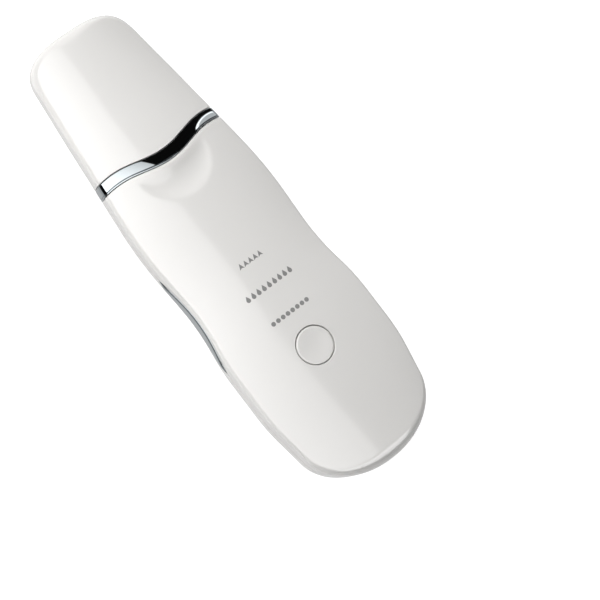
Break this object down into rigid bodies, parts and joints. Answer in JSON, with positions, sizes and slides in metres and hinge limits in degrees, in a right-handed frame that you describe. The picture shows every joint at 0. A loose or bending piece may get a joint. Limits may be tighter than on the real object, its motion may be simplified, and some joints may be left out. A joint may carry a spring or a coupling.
{
  "type": "ultrasonic skin scrubber",
  "caption": "Handheld ultrasonic skin scrubber with a waisted white body, wavy chrome ring, side grip strips, round button and pull-off cap over a bent steel blade.",
  "frame": {"origin": "under the middle of the length, on the plane of the flat sole the device lies on", "axes": "+Y along the device towards the cap, +Z out of the front face with the button, +X across to the right seen from the front"},
  "size_m": [0.054, 0.1756, 0.0255],
  "materials": {
    "back_cover": "high gloss white moulding",
    "battery_cell": "foil pouch",
    "battery_foam_lower": "closed cell foam",
    "battery_foam_upper": "closed cell foam",
    "battery_lead_negative": "wire insulation",
    "battery_lead_positive": "wire insulation",
    "battery_socket": "matt white moulding",
    "blade_screw_1": "stainless or plated steel",
    "blade_screw_2": "stainless or plated steel",
    "blade_seal": "silicone rubber",
    "board_screw_1": "stainless or plated steel",
    "board_screw_2": "stainless or plated steel",
    "button_gasket": "silicone rubber",
    "button_switch": "black moulding or ferrite",
    "cap": "high gloss white moulding",
    "cap_grip_ring": "silicone rubber",
    "case_screw_1": "stainless or plated steel",
    "case_screw_2": "stainless or plated steel",
    "case_screw_3": "stainless or plated steel",
    "case_screw_4": "stainless or plated steel",
    "charge_port": "stainless or plated steel",
    "chrome_ring": "bright plated plastic",
    "control_chip": "black moulding or ferrite",
    "driver_chip": "black moulding or ferrite",
    "electrode_middle": "copper",
    "electrode_rear": "copper",
    "filter_capacitor": "black moulding or ferrite",
    "front_cover": "high gloss white moulding",
    "grip_strip_left": "bright plated plastic",
    "grip_strip_right": "bright plated plastic",
    "light_guide": "clear acrylic",
    "main_board": "solder mask over glass fibre",
    "mode_led_1": "clear lens",
    "mode_led_2": "clear lens",
    "mode_led_3": "clear lens",
    "neck_frame": "matt white moulding",
    "nodal_gasket": "silicone rubber",
    "piezo_lead_front": "wire insulation",
    "piezo_lead_rear": "wire insulation",
    "piezo_ring_front": "fired ceramic",
    "piezo_ring_rear": "fired ceramic",
    "port_tongue": "black moulding or ferrite",
    "power_button": "high gloss white moulding",
    "screw_plug_1": "silicone rubber",
    "screw_plug_2": "silicone rubber",
    "screw_plug_3": "silicone rubber",
    "screw_plug_4": "silicone rubber",
    "scrubber_blade": "stainless or plated steel",
    "strip_contact_left": "copper",
    "strip_contact_right": "copper",
    "switch_plunger": "matt white moulding",
    "transducer_back_mass": "stainless or plated steel",
    "transducer_bolt": "stainless or plated steel",
    "transducer_horn": "turned aluminium",
    "transformer_core_lower": "black moulding or ferrite",
    "transformer_core_upper": "black moulding or ferrite",
    "transformer_winding": "copper"
  },
  "bodies": {
    "handle": {"back_cover": "back_cover", "battery_cell": "battery_cell", "battery_foam_lower": "battery_foam_lower", "battery_foam_upper": "battery_foam_upper", "battery_lead_negative": "battery_lead_negative", "battery_lead_positive": "battery_lead_positive", "battery_socket": "battery_socket", "blade_screw_1": "blade_screw_1", "blade_screw_2": "blade_screw_2", "blade_seal": "blade_seal", "board_screw_1": "board_screw_1", "board_screw_2": "board_screw_2", "button_gasket": "button_gasket", "button_switch": "button_switch", "cap_grip_ring": "cap_grip_ring", "case_screw_1": "case_screw_1", "case_screw_2": "case_screw_2", "case_screw_3": "case_screw_3", "case_screw_4": "case_screw_4", "charge_port": "charge_port", "chrome_ring": "chrome_ring", "control_chip": "control_chip", "driver_chip": "driver_chip", "electrode_middle": "electrode_middle", "electrode_rear": "electrode_rear", "filter_capacitor": "filter_capacitor", "front_cover": "front_cover", "grip_strip_left": "grip_strip_left", "grip_strip_right": "grip_strip_right", "light_guide": "light_guide", "main_board": "main_board", "mode_led_1": "mode_led_1", "mode_led_2": "mode_led_2", "mode_led_3": "mode_led_3", "neck_frame": "neck_frame", "nodal_gasket": "nodal_gasket", "piezo_lead_front": "piezo_lead_front", "piezo_lead_rear": "piezo_lead_rear", "piezo_ring_front": "piezo_ring_front", "piezo_ring_rear": "piezo_ring_rear", "port_tongue": "port_tongue", "screw_plug_1": "screw_plug_1", "screw_plug_2": "screw_plug_2", "screw_plug_3": "screw_plug_3", "screw_plug_4": "screw_plug_4", "scrubber_blade": "scrubber_blade", "strip_contact_left": "strip_contact_left", "strip_contact_right": "strip_contact_right", "transducer_back_mass": "transducer_back_mass", "transducer_bolt": "transducer_bolt", "transducer_horn": "transducer_horn", "transformer_core_lower": "transformer_core_lower", "transformer_core_upper": "transformer_core_upper", "transformer_winding": "transformer_winding"},
    "cap": {"cap": "cap"},
    "button": {"power_button": "power_button", "switch_plunger": "switch_plunger"}
  },
  "joints": [
    {"name": "cap_pull", "type": "slide", "parent": "handle", "child": "cap", "axis": [0, 1, 0], "range_m": [0, 0.06]},
    {"name": "button_press", "type": "slide", "parent": "handle", "child": "button", "axis": [0, 0, -1], "range_m": [0, 0.0005], "stiffness_N_per_m": 2000}
  ]
}
